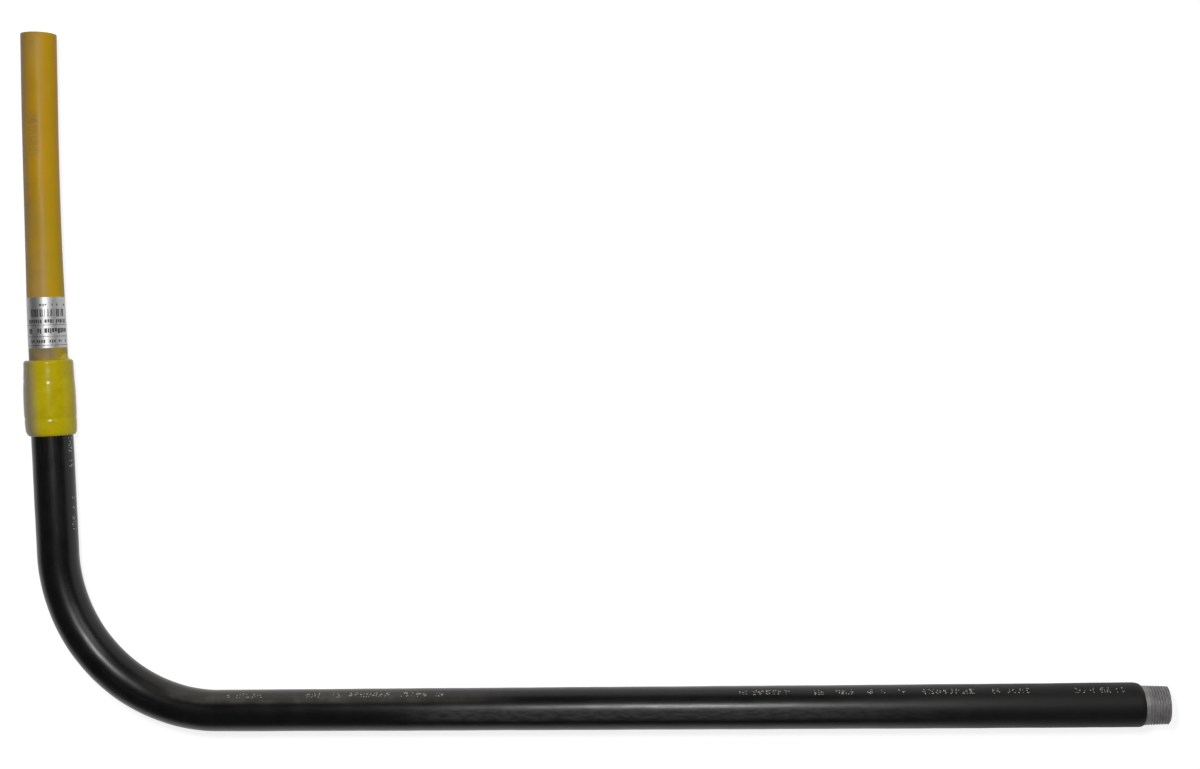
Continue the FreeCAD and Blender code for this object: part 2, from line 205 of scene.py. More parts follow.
class Run:
    """The pipes' axis in the plane of the bend, measured from the threaded end's face."""

    def __init__(self, x, y, heading):
        self.legs = []
        self.end = (0.0, x, y, heading)

    def add(self, distance, curve=0.0):
        """A stretch of constant curve, which is positive to the left."""
        begin, x, y, heading = self.end
        self.legs.append((begin, x, y, heading, curve))
        points, headings = self.follow(np.array([begin + distance]))
        self.end = (begin + distance, points[0, 0], points[0, 1], headings[0])
        return self

    def follow(self, stations):
        """Points on the axis, and headings in radians, at an array of stations."""
        legs = np.array(self.legs)
        which = np.clip(np.searchsorted(legs[:, 0], stations, side="right") - 1, 0, len(legs) - 1)
        begin, x, y, heading, curve = np.moveaxis(legs[which], -1, 0)
        along = stations - begin
        turned = heading + along * curve
        bent = np.abs(curve) > 1e-9
        safe = np.where(bent, curve, 1.0)
        dx = np.where(bent, (np.sin(turned) - np.sin(heading)) / safe, along * np.cos(heading))
        dy = np.where(bent, (np.cos(heading) - np.cos(turned)) / safe, along * np.sin(heading))
        return np.stack([x + dx, y + dy], axis=-1), turned

    def place(self, stations, radii, angles):
        """Points round the axis. Angle 0 is on the inside of the bend and a quarter turn is on top."""
        points, headings = self.follow(stations)
        side = radii * np.cos(angles)
        return np.stack([points[..., 0] + side * np.sin(headings), points[..., 1] - side * np.cos(headings),
                         radii * np.sin(angles)], axis=-1)


def make_run():
    size = bpy.context.scene.elbow_size
    run = Run(0.0, 0.0, math.pi)
    run.add(size.long_leg - size.bend_radius)
    run.add(size.bend_radius * math.pi / 2, -1 / size.bend_radius)
    run.add(size.set_start - size.bend_radius)
    run.add(size.set_length, -size.set_angle / size.set_length)
    run.add(size.stub_straight)
    return run


def height(value):
    """Station of a height above the crossing of the leg axes, on the short leg."""
    size = bpy.context.scene.elbow_size
    return size.long_leg - size.bend_radius + size.bend_radius * math.pi / 2 + value - size.bend_radius


def stub_surface(station):
    """Outside radius of the stub, which widens towards the joint."""
    scene = bpy.context.scene
    given = scene.elbow_stub
    way = np.clip((station - height(scene.elbow_size.cover_top)) / given.flare_length, 0.0, 1.0)
    return given.radius + given.flare * (1 - way * way * (3 - 2 * way))


def coat_surface(station, turn):
    """Outside radius of the coat, which is slightly uneven and sits off centre at its bare end."""
    given = bpy.context.scene.elbow_coat
    ripple = np.sin(station * 41 + 2 * turn) + np.sin(station * 97 + turn + 1.7)
    ripple = ripple + 0.6 * np.sin(station * 233 + 3 * turn)
    raised = given.lift * np.cos(turn) * math.exp(-station / 0.12)
    raised += given.thicker * min(1.0, max(0.0, (1.0 - station) / 0.3))
    return given.radius + raised + given.wander * 0.4 * ripple


def around(sides):
    """Angles of the points of a ring."""
    return np.arange(sides) * TURN / sides


def new_object(name, data):
    made = bpy.data.objects.new(name, data)
    bpy.context.scene.collection.objects.link(made)
    return made


def new_piece(name, points, faces, straight, smooth_angle=32.0):
    """Mesh object whose faces look outwards, with its points in the straightened pipe's coordinates."""
    mesh = bpy.data.meshes.new(name)
    mesh.from_pydata(points.tolist(), [], faces)
    attribute = mesh.attributes.new("straight", "FLOAT_VECTOR", "POINT")
    attribute.data.foreach_set("vector", straight.astype(np.float32).ravel())
    work = bmesh.new()
    work.from_mesh(mesh)
    bmesh.ops.recalc_face_normals(work, faces=work.faces)
    work.to_mesh(mesh)
    work.free()
    mesh.shade_smooth()
    mesh.set_sharp_from_angle(angle=math.radians(smooth_angle))
    return new_object(name, mesh)


def band(low, high, count):
    """Faces between two rings of points, from the number of each ring's first point."""
    return [(low + k, low + (k + 1) % count, high + (k + 1) % count, high + k) for k in range(count)]


def sweep(name, rings, sides, smooth_angle=32.0):
    """Closed tube through rings of (station, radius), each a number or one value for each side."""
    run = make_run()
    angles = around(sides)
    stations = np.array([np.broadcast_to(ring[0], sides) for ring in rings], float)
    radii = np.array([np.broadcast_to(ring[1], sides) for ring in rings], float)
    points = run.place(stations, radii, angles).reshape(-1, 3)
    straight = np.stack([radii * np.cos(angles), radii * np.sin(angles), stations], axis=-1).reshape(-1, 3)
    faces = []
    for ring in range(len(rings)):
        faces += band(ring * sides, (ring + 1) % len(rings) * sides, sides)
    return new_piece(name, points, faces, straight, smooth_angle)


def spaced(start, end, step):
    """Stations from start to end, about a step apart."""
    count = max(1, round(abs(end - start) / step))
    return list(np.linspace(start, end, count + 1))


def curve_through(knots, values):
    """Smooth curve through knots, that never swings past them."""
    h, d = np.diff(knots), np.diff(values) / np.diff(knots)
    slopes = np.zeros(len(knots))
    for k in range(1, len(knots) - 1):
        if d[k - 1] * d[k] > 0:
            a, b = 2 * h[k] + h[k - 1], h[k] + 2 * h[k - 1]
            slopes[k] = (a + b) / (a / d[k - 1] + b / d[k])
    slopes[0], slopes[-1] = d[0], d[-1]

    def at(x):
        k = np.clip(np.searchsorted(knots, x, side="right") - 1, 0, len(knots) - 2)
        t = (x - knots[k]) / h[k]
        return ((1 + 2 * t) * (1 - t) ** 2 * values[k] + t * (1 - t) ** 2 * h[k] * slopes[k]
                + t * t * (3 - 2 * t) * values[k + 1] + t * t * (t - 1) * h[k] * slopes[k + 1])

    return at


def patch(run, points, faces, straight, stations, angles, radii, columns=6):
    """Adds a thin curved block on a pipe: from stations[0] to [1], angles[0] to [1], radii[0] to [1]."""
    base = len(points)
    turns = np.linspace(angles[0], angles[1], columns + 1)
    for station, radius in ((stations[0], radii[0]), (stations[1], radii[0]),
                            (stations[1], radii[1]), (stations[0], radii[1])):
        points.extend(run.place(np.full(columns + 1, station), np.full(columns + 1, radius), turns).tolist())
        straight.extend([(radius * math.cos(t), radius * math.sin(t), station) for t in turns])
    width = columns + 1
    for edge in range(4):
        low, high = base + edge * width, base + (edge + 1) % 4 * width
        faces.extend((low + k, low + k + 1, high + k + 1, high + k) for k in range(columns))
    faces.append(tuple(base + edge * width for edge in range(4)))
    faces.append(tuple(base + (3 - edge) * width + columns for edge in range(4)))


def dot(run, points, faces, straight, station, turn, surface, radius, thickness, corners=8):
    """Adds one round ink dot that lies on a pipe."""
    base = len(points)
    spots = around(corners)
    for level, size in ((surface, 1.0), (surface + thickness, 0.85)):
        along = station + radius * size * np.sin(spots)
        round_it = turn + radius * size * np.cos(spots) / surface
        points.extend(run.place(along, np.full(corners, level), round_it).tolist())
        straight.extend(zip(level * np.cos(round_it), level * np.sin(round_it), along))
    faces.extend(band(base, base + corners, corners))
    faces.append(tuple(base + k for k in range(corners)))
    faces.append(tuple(base + corners + k for k in reversed(range(corners))))


class Nodes:
    """Adds joined nodes to a material's or a group's tree."""

    def __init__(self, tree):
        self.tree = tree

    def add(self, kind, inputs=None, **settings):
        node = self.tree.nodes.new(kind)
        for name, value in settings.items():
            setattr(node, name, value)
        for name, value in (inputs or {}).items():
            if isinstance(value, bpy.types.NodeSocket):
                self.tree.links.new(value, node.inputs[name])
            else:
                node.inputs[name].default_value = value
        return node

    def mix(self, factor, first, second, blend="MIX"):
        node = self.add("ShaderNodeMix", {0: factor, 6: first, 7: second}, data_type="RGBA", blend_type=blend)
        return node.outputs[2]

    def stretch(self, vector, factors):
        return self.add("ShaderNodeVectorMath", {0: vector, 1: factors}, operation="MULTIPLY").outputs[0]

    def noise(self, vector, scale, detail=3.0, roughness=0.5, stretch=None):
        if stretch:
            vector = self.stretch(vector, stretch)
        return self.add("ShaderNodeTexNoise", {"Vector": vector, "Scale": scale, "Detail": detail,
                                               "Roughness": roughness}).outputs[0]

    def remap(self, value, low, high, to_low=0.0, to_high=1.0, smooth=True):
        return self.add("ShaderNodeMapRange", {0: value, 1: low, 2: high, 3: to_low, 4: to_high},
                        interpolation_type="SMOOTHSTEP" if smooth else "LINEAR").outputs[0]

    def sum(self, first, second, operation="ADD"):
        return self.add("ShaderNodeMath", {0: first, 1: second}, operation=operation).outputs[0]

    def times(self, first, second):
        return self.sum(first, second, "MULTIPLY")

    def between(self, value, rise, fall, floor=0.0):
        """Mask that rises to 1 over the first pair of values, and falls to the floor over the second."""
        return self.times(self.remap(value, *rise), self.remap(value, *fall, 1.0, floor))

    def paint(self, base, mask, strength, tone):
        """The base colour, with another laid over it where the mask is."""
        return self.mix(self.times(mask, strength), base, tone)

    def split(self, vector):
        return self.add("ShaderNodeSeparateXYZ", {0: vector}).outputs

    def across(self, place):
        """Distance from the axis towards the inside of the bend, tilted 26 degrees down."""
        return self.add("ShaderNodeVectorMath", {0: place, 1: (0.9, -0.44, 0.0)},
                        operation="DOT_PRODUCT").outputs[1]

    def bump(self, height_value, distance, strength=1.0):
        return self.add("ShaderNodeBump", {"Height": height_value, "Distance": distance,
                                           "Strength": strength}).outputs[0]

    def mottle(self, place, scale):
        """Masks of soft blotches and small specks."""
        return self.add("ShaderNodeGroup", {"Vector": place, "Scale": scale},
                        node_tree=shared("Mottle", build_mottle)).outputs

    def drawn_lines(self, place, fineness, length_scale=0.03):
        """Masks of fine lines and of scuffs."""
        return self.add("ShaderNodeGroup", {"Vector": place, "Fineness": fineness, "Length": length_scale},
                        node_tree=shared("Drawn lines", build_drawn_lines)).outputs


def new_group(name, inputs, outputs):
    """Shader node group with float or vector sockets, its node helper and its inner sockets."""
    tree = bpy.data.node_groups.new(name, "ShaderNodeTree")
    for socket, default in inputs:
        kind = "NodeSocketVector" if default is None else "NodeSocketFloat"
        made = tree.interface.new_socket(socket, in_out="INPUT", socket_type=kind)
        if default is not None:
            made.default_value = default
    for socket in outputs:
        tree.interface.new_socket(socket, in_out="OUTPUT", socket_type="NodeSocketFloat")
    nodes = Nodes(tree)
    return tree, nodes, nodes.add("NodeGroupInput").outputs, nodes.add("NodeGroupOutput").inputs


def shared(name, build):
    """The group of that name, built once."""
    return bpy.data.node_groups.get(name) or build(name)


def build_drawn_lines(name):
    """Fine lines that extrusion or rubbing leaves along a pipe."""
    tree, nodes, given, put = new_group(name, [("Vector", None), ("Fineness", 900.0), ("Length", 0.03)],
                                        ["Lines", "Scuffs"])
    along = nodes.add("ShaderNodeCombineXYZ", {0: 1.0, 1: 1.0, 2: given["Length"]}).outputs[0]
    stretched = nodes.stretch(given["Vector"], along)
    lines = nodes.noise(stretched, given["Fineness"], detail=4.0, roughness=0.6)
    tree.links.new(lines, put["Lines"])
    coarse = nodes.noise(stretched, nodes.times(given["Fineness"], 0.4), detail=2.0)
    patches = nodes.remap(nodes.noise(given["Vector"], 14.0), 0.5, 0.66)
    tree.links.new(nodes.times(nodes.remap(coarse, 0.58, 0.72), patches), put["Scuffs"])
    return tree


def build_mottle(name):
    """Soft blotches of two sizes, and small specks."""
    tree, nodes, given, put = new_group(name, [("Vector", None), ("Scale", 60.0), ("Speck scale", 900.0)],
                                        ["Blotches", "Specks"])
    broad = nodes.noise(given["Vector"], given["Scale"], detail=4.0, roughness=0.6)
    tree.links.new(nodes.remap(broad, 0.32, 0.68), put["Blotches"])
    tiny = nodes.noise(given["Vector"], given["Speck scale"], detail=2.0)
    tree.links.new(nodes.remap(tiny, 0.66, 0.76), put["Specks"])
    return tree


def new_material(name, roughness, metallic=0.0, **constants):
    """Material with its node helper and the straightened pipe's coordinates."""
    material = bpy.data.materials.new(name)
    material.use_nodes = True
    nodes = Nodes(material.node_tree)
    shader = material.node_tree.nodes["Principled BSDF"]
    shader.inputs["Roughness"].default_value = roughness
    shader.inputs["Metallic"].default_value = metallic
    for socket, value in constants.items():
        shader.inputs[socket.replace("_", " ")].default_value = value
    place = nodes.add("ShaderNodeAttribute", attribute_name="straight").outputs["Vector"]
    return material, nodes, place


def finish(material, **sockets):
    """Joins values to the inputs of a material's shader."""
    tree = material.node_tree
    for socket, value in sockets.items():
        tree.links.new(value, tree.nodes["Principled BSDF"].inputs[socket.replace("_", " ")])
    return material


def rgba(value, gain=1.0):
    return (*(min(1.0, part * gain) for part in value), 1.0)


def coat_material():
    """Satin black polyethylene with drawn lines, rubbed streaks, dusty scuffs and specks, with a painted sheen
    near the bend and a painted highlight on top of the long leg.
    """
    given = bpy.context.scene.elbow_coat
    material, nodes, place = new_material("black_coat_satin", 0.32, Specular_IOR_Level=0.3)
    lines = nodes.drawn_lines(place, 1500.0)
    mottle = nodes.mottle(place, 45.0)
    inward, upward, station = nodes.split(place)
    # Grey of the painted highlight on top of the long leg.
    highlight_grey = (0.044, 0.044, 0.044, 1.0)
    # Painted sheen: a lighter grey band along the inside of the coat, before and in the bend, stands in for a
    # reflection.
    inner = nodes.between(inward, (0.0085, 0.0125), (0.0140, 0.0175), 0.4)
    near_bend = nodes.between(station, (0.54, 0.70), (0.86, 0.95))
    painted_sheen = nodes.times(nodes.times(inner, near_bend), nodes.remap(mottle["Blotches"], 0.0, 1.0, 0.6, 1.0))
    base = nodes.mix(nodes.remap(mottle["Blotches"], 0.0, 1.0, 0.0, 0.55), rgba(given.colour),
                     rgba(given.colour, 2.4))
    base = nodes.paint(base, lines["Scuffs"], 0.35, rgba(given.dust_and_sheen))
    base = nodes.mix(painted_sheen, base, rgba(given.dust_and_sheen, 1.7))
    # Painted highlight: a grainy grey on top of the long leg, where the lamp's highlight lies, widens that
    # highlight.
    painted_highlight = nodes.times(nodes.remap(upward, 0.0172, 0.0189), nodes.remap(station, 0.62, 0.70, 1.0, 0.0))
    painted_highlight = nodes.times(painted_highlight, nodes.remap(station, 0.14, 0.34))
    grain = nodes.noise(place, 420.0, detail=4.0, stretch=(1.0, 1.0, 0.25))
    base = nodes.paint(base, painted_highlight, nodes.remap(grain, 0.35, 0.62, 0.45, 0.9), highlight_grey)
    base = nodes.paint(base, mottle["Specks"], 0.25, rgba(given.dust_and_sheen, 2.0))
    rough = nodes.remap(lines["Lines"], 0.3, 0.7, 0.235, 0.295)
    rubbed = nodes.remap(station, 0.05, 0.34, 0.33, 0.03)
    rough = nodes.sum(rough, nodes.sum(rubbed, nodes.times(mottle["Blotches"], 0.03)))
    relief = nodes.sum(nodes.times(lines["Lines"], 0.5), nodes.noise(place, 220.0, detail=1.0))
    return finish(material, Base_Color=base, Roughness=rough, Normal=nodes.bump(relief, 0.000014, 0.7))


def steel_material():
    """Dull bare steel with turning marks and specks of rust."""
    given = bpy.context.scene.elbow_thread
    material, nodes, place = new_material("bare_steel_dull", 0.6, 0.6)
    mottle = nodes.mottle(place, 160.0)
    lines = nodes.drawn_lines(place, 700.0, 6.0)
    rust = (0.10, 0.075, 0.06, 1.0)
    base = nodes.mix(mottle["Blotches"], rgba(given.colour, 0.85), rgba(given.colour, 1.12))
    base = nodes.paint(base, mottle["Specks"], 0.4, rust)
    rough = nodes.remap(lines["Lines"], 0.3, 0.7, 0.58, 0.72)
    return finish(material, Base_Color=base, Roughness=rough, Normal=nodes.bump(lines["Lines"], 0.00003, 0.6))


def cover_material():
    """Glossy yellow plastic with soft unevenness and faint scratches, and a painted sheen and shade that turn
    its outer side grey and darker.
    """
    given = bpy.context.scene.elbow_cover
    material, nodes, place = new_material("yellow_cover_gloss", 0.21, Specular_IOR_Level=0.2)
    mottle = nodes.mottle(place, 70.0)
    lines = nodes.drawn_lines(place, 700.0, 0.2)
    scuff, speck = (0.52, 0.47, 0.12, 1.0), (0.30, 0.26, 0.02, 1.0)
    base = nodes.mix(mottle["Blotches"], rgba(given.colour, 0.92), rgba(given.colour, 1.08))
    base = nodes.paint(base, lines["Scuffs"], 0.18, scuff)
    # Painted sheen and shade: the outer side, away from the inside of the bend, is made grey and darker.
    painted_sheen = nodes.remap(nodes.across(place), -0.0215, -0.0085, 0.88, 0.0)
    base = nodes.mix(painted_sheen, base, rgba(given.painted_sheen))
    base = nodes.paint(base, mottle["Specks"], 0.3, speck)
    rough = nodes.remap(lines["Lines"], 0.3, 0.7, 0.18, 0.24)
    relief = nodes.sum(nodes.noise(place, 90.0, detail=2.0), nodes.times(lines["Lines"], 0.06))
    return finish(material, Base_Color=base, Roughness=rough, Normal=nodes.bump(relief, 0.00025, 0.5))


def stub_material():
    """Ochre polyethylene with greener streaks, a worn patch, scuffs and specks, and painted light: a grey
    painted sheen and a darker, bluer painted shade on its outer side, and a band of painted shade between
    label and cover.
    """
    given = bpy.context.scene.elbow_stub
    material, nodes, place = new_material("ochre_stub_satin", 0.4, Specular_IOR_Level=0.13)
    mottle = nodes.mottle(place, 38.0)
    lines = nodes.drawn_lines(place, 420.0, 0.04)
    station = nodes.split(place)[2]
    scuff, speck, painted_shade_tint = (0.52, 0.37, 0.09, 1.0), (0.24, 0.15, 0.03, 1.0), (0.80, 0.77, 1.0, 1.0)
    streaks = nodes.remap(nodes.noise(place, 95.0, detail=3.0, stretch=(1.0, 1.0, 0.05)), 0.40, 0.60)
    down = nodes.remap(station, 1.45, 1.32, 0.0, 0.7)
    base = nodes.mix(nodes.sum(down, nodes.times(streaks, 0.3)), rgba(given.colour), rgba(given.shade))
    side = nodes.across(place)
    # Painted shade: the outer side is made darker and bluer than the inner side.
    base = nodes.mix(nodes.remap(side, -0.009, 0.008, 1.0, 0.0), base, painted_shade_tint, "MULTIPLY")
    # Painted sheen: grey on the outer side, with streaks of it lower down, stands in for a grazing reflection.
    streaky_sheen = nodes.remap(nodes.noise(place, 60.0, detail=4.0, stretch=(1.0, 1.0, 0.12)), 0.46, 0.58)
    streaky_sheen = nodes.times(nodes.sum(streaky_sheen, down), nodes.remap(side, -0.002, 0.008, 0.34, 0.0))
    painted_sheen = nodes.sum(nodes.remap(side, -0.0170, -0.006, 0.75, 0.0), streaky_sheen, "MAXIMUM")
    # The worn patch is real wear, in the painted sheen's grey made darker.
    worn = nodes.between(station, (1.450, 1.458), (1.488, 1.496))
    worn = nodes.times(worn, nodes.remap(side, -0.012, -0.009))
    worn = nodes.times(worn, nodes.remap(side, -0.003, 0.000, 1.0, 0.0))
    hatch = nodes.noise(place, 500.0, detail=2.0, stretch=(0.25, 0.25, 1.0))
    hatch = nodes.remap(hatch, 0.42, 0.58, 0.1, 0.6)
    base = nodes.mix(painted_sheen, base, rgba(given.painted_sheen))
    base = nodes.paint(base, worn, hatch, rgba(given.painted_sheen, 0.6))
    # Painted shade: a grey band on the stub between label and cover, strongest on the outer side.
    near_cover = nodes.remap(station, 1.281, 1.285, 1.0, 0.0)
    painted_shade_band = nodes.times(near_cover, nodes.remap(side, -0.004, 0.011, 0.9, 0.25))
    base = nodes.mix(painted_shade_band, base, rgba(given.painted_shade_band))
    base = nodes.paint(base, mottle["Blotches"], 0.4, rgba(given.colour, 1.12))
    base = nodes.paint(base, lines["Scuffs"], 0.4, scuff)
    base = nodes.paint(base, mottle["Specks"], 0.35, speck)
    rough = nodes.remap(lines["Lines"], 0.3, 0.7, 0.34, 0.46)
    relief = nodes.sum(nodes.noise(place, 150.0, detail=2.0), nodes.times(lines["Lines"], 0.4))
    return finish(material, Base_Color=base, Roughness=rough, Normal=nodes.bump(relief, 0.00012, 0.6))


def foil_material():
    """Satin silver foil with a brushed grain round the pipe."""
    given = bpy.context.scene.elbow_label
    material, nodes, place = new_material("label_foil_satin", 0.48, 0.9)
    mottle = nodes.mottle(place, 120.0)
    lines = nodes.drawn_lines(place, 500.0, 5.0)
    base = nodes.mix(mottle["Blotches"], rgba(given.colour, 0.94), rgba(given.colour, 1.05))
    rough = nodes.remap(lines["Lines"], 0.3, 0.7, 0.43, 0.53)
    return finish(material, Base_Color=base, Roughness=rough, Normal=nodes.bump(lines["Lines"], 0.00002, 0.5))


def ink_material(name, tone, wear):
    """Printed ink, thinner in places."""
    material, nodes, place = new_material(name, 0.6)
    mottle = nodes.mottle(place, 500.0)
    base = nodes.paint(rgba(tone), mottle["Blotches"], wear, rgba(tone, 0.35))
    return finish(material, Base_Color=base, Roughness=nodes.remap(mottle["Blotches"], 0.0, 1.0, 0.5, 0.7))


def inner_material(name, tone, metallic, roughness, grain):
    """Finish of a piece inside the joint, with its own fine turning marks or moulding grain."""
    material, nodes, _ = new_material(name, roughness, metallic)
    place = nodes.add("ShaderNodeTexCoord").outputs["Object"]
    mottle = nodes.mottle(place, grain)
    base = nodes.mix(mottle["Blotches"], rgba(tone, 0.85), rgba(tone, 1.1))
    rough = nodes.remap(mottle["Blotches"], 0.0, 1.0, roughness - 0.06, roughness + 0.08)
    relief = nodes.noise(place, grain * 6, detail=2.0, stretch=(0.2, 3.0, 0.2))
    return finish(material, Base_Color=base, Roughness=rough, Normal=nodes.bump(relief, 0.00003, 0.5))


def dress(piece, material, node):
    """Gives a new piece its finish and its body, and hides the packed solid that it replaces, if there is one.
    """
    piece.data.materials.append(material)
    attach(piece, "root")
    if node:
        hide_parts(node)
    return piece


class Builder:
    """What the operators share."""

    def execute(self, context):
        self.build(context.scene)
        return {"FINISHED"}


class ELBOW_OT_steel_pipe(Builder, bpy.types.Operator):
    """Steel pipe with its taper thread, cut as a helix, its bore, crimp groove and weld bevel"""

    bl_idname = "elbow.steel_pipe"
    bl_label = "Steel pipe"

    def build(self, scene):
        size, given = scene.elbow_size, scene.elbow_thread
        sides, steps_in_pitch = 160, 19
        turns = np.arange(sides) / sides
        root_flat = 1 / 6
        bore_edge, bevel = 0.6 * MM, 1.5 * MM
        thread_end = given.full_length + given.run_out
        bend_start, bend_end = size.long_leg - size.bend_radius, height(size.bend_radius)
        rings = [(bore_edge, size.bore_radius), (0.0, size.bore_radius + bore_edge)]
        for station in spaced(0.0, thread_end, given.pitch / steps_in_pitch):
            crest = min(given.end_radius + station * given.taper, size.pipe_radius)
            phase = (station / given.pitch + turns) % 1.0
            flank = np.clip((np.abs(2 * phase - 1) - root_flat) * 1.5, 0.0, 1.0)
            flank = 0.5 * flank + 0.5 * flank * flank * (3 - 2 * flank)
            fade = np.clip((station - given.full_length) / given.run_out, 0.0, 1.0)
            radius = crest - given.depth * (1 - fade) * (1 - flank)
            rings.append((station, np.minimum(radius, given.end_radius - given.chamfer + station)))
        outside = spaced(thread_end + MM, bend_start, STRAIGHT_STEP)
        outside += spaced(bend_start, bend_end, BEND_STEP)[1:]
        rings += [(station, size.pipe_radius) for station in outside]
        groove, groove_depth = 0.2765, 0.8 * MM
        for level, cut in ((groove - 2.3 * MM, 0.0), (groove - 1.5 * MM, groove_depth),
                           (groove + 1.5 * MM, groove_depth), (groove + 2.3 * MM, 0.0),
                           (size.steel_leg - bevel, 0.0), (size.steel_leg, bevel)):
            rings.append((height(level), size.pipe_radius - cut))
        bore = [height(size.steel_leg)] + spaced(bend_end, bend_start, BEND_STEP)
        bore += spaced(bend_start, bore_edge, STRAIGHT_STEP)[1:-1]
        rings += [(station, size.bore_radius) for station in bore]
        dress(sweep("threaded_pipe", rings, sides, 50.0), steel_material(), "steel_pipe")


class ELBOW_OT_coat(Builder, bpy.types.Operator):
    """Black coat, slightly uneven, rounded down to the steel at the bare end"""

    bl_idname = "elbow.coat"
    bl_label = "Black coat"

    def build(self, scene):
        size, given = scene.elbow_size, scene.elbow_coat
        sides, steps = 112, 8
        turns = around(sides)
        inner, edge = size.pipe_radius, 0.25 * MM
        upper = (1 + np.cos(turns)) / 2
        lip = given.bare_length + 0.6 * MM * (1 - upper) + 2.4 * MM * (1 - np.clip(np.sin(turns), 0.0, 1.0))
        rounding = (3.4 + 4.4 * upper) * MM
        full, rounded_by = coat_surface(0.025, turns) - inner - edge, 0.034

        rings = [(lip, inner), (lip, inner + edge)]
        for step in range(1, steps + 1):
            t = step / steps
            rise = math.sin(t * math.pi / 2) ** 0.85
            rings.append((lip + rounding * (1 - math.cos(t * math.pi / 2)), inner + edge + full * rise))
        bend_start, bend_end = size.long_leg - size.bend_radius, height(size.bend_radius)
        end = height(given.top)
        stations = spaced(rounded_by, bend_start, BEND_STEP)
        stations += spaced(bend_start, bend_end, 2.4 * MM)[1:]
        stations += spaced(bend_end, end, 5 * MM)[1:]
        rings += [(station, coat_surface(station, turns)) for station in stations]
        inside = [end] + spaced(bend_end, bend_start, BEND_STEP) + spaced(bend_start, 0.05, STRAIGHT_STEP)[1:]
        rings += [(station, inner) for station in inside]
        dress(sweep("coat", rings, sides), coat_material(), "pipe_coating")


class ELBOW_OT_coat_marks(Builder, bpy.types.Operator):
    """Groups of pale ink dots along the inside of the bend, in no real letters"""

    bl_idname = "elbow.coat_marks"
    bl_label = "Ink dots on the coat"

    LETTER = 5  # columns of dots, the last of which is left out
    GAPS = 0.12  # share of the other columns that are left out
    SMEAR = 0.2 * MM  # how far a dot lies out of its column
    CLEAR = 0.00003  # gap between the coat and the dots
    # First and last station of each line of marks, and the angle of its middle from the inside of the bend
    LINES = ((0.0375, 0.0597, 34), (0.0640, 0.0790, 34), (0.1175, 0.1360, 33), (0.1420, 0.1490, 34),
             (0.1650, 0.2110, 34), (0.2220, 0.2295, 33), (0.2380, 0.2447, 34), (0.2524, 0.2575, 33),
             (0.2690, 0.2845, 33), (0.2950, 0.3020, 34), (0.3245, 0.3570, 33), (0.3620, 0.3710, 32),
             (0.6360, 0.6420, 31), (0.6510, 0.6750, 31), (0.6860, 0.7240, 31), (0.7310, 0.7390, 32),
             (0.7490, 0.7640, 32), (0.8060, 0.8310, 31), (0.8350, 0.8400, 31),
             (1.106, 1.122, 8), (1.126, 1.130, 6), (1.137, 1.139, 4), (1.166, 1.174, 9), (1.181, 1.194, 9))

    def build(self, scene):
        given, coat = scene.elbow_print, scene.elbow_coat
        draw = random.Random(given.seed)
        points, faces, straight = [], [], []
        run = make_run()
        for first, last, middle in self.LINES:
            column, station = 0, first
            while station < last:
                left_out = column % self.LETTER == self.LETTER - 1 or draw.random() < self.GAPS
                for row in range(given.rows):
                    if left_out or draw.random() > given.share:
                        continue
                    turn = math.radians(middle) + (row - (given.rows - 1) / 2) * given.pitch / coat.radius
                    level = float(coat_surface(station, turn)) + self.CLEAR
                    dot(run, points, faces, straight, station + draw.uniform(-self.SMEAR, self.SMEAR), turn,
                        level, given.dot * draw.uniform(0.6, 1.15), given.thickness)
                column += 1
                station += given.pitch
        piece = new_piece("coat_marks", np.array(points), faces, np.array(straight))
        dress(piece, ink_material("pale_ink", given.colour, 0.6), None)


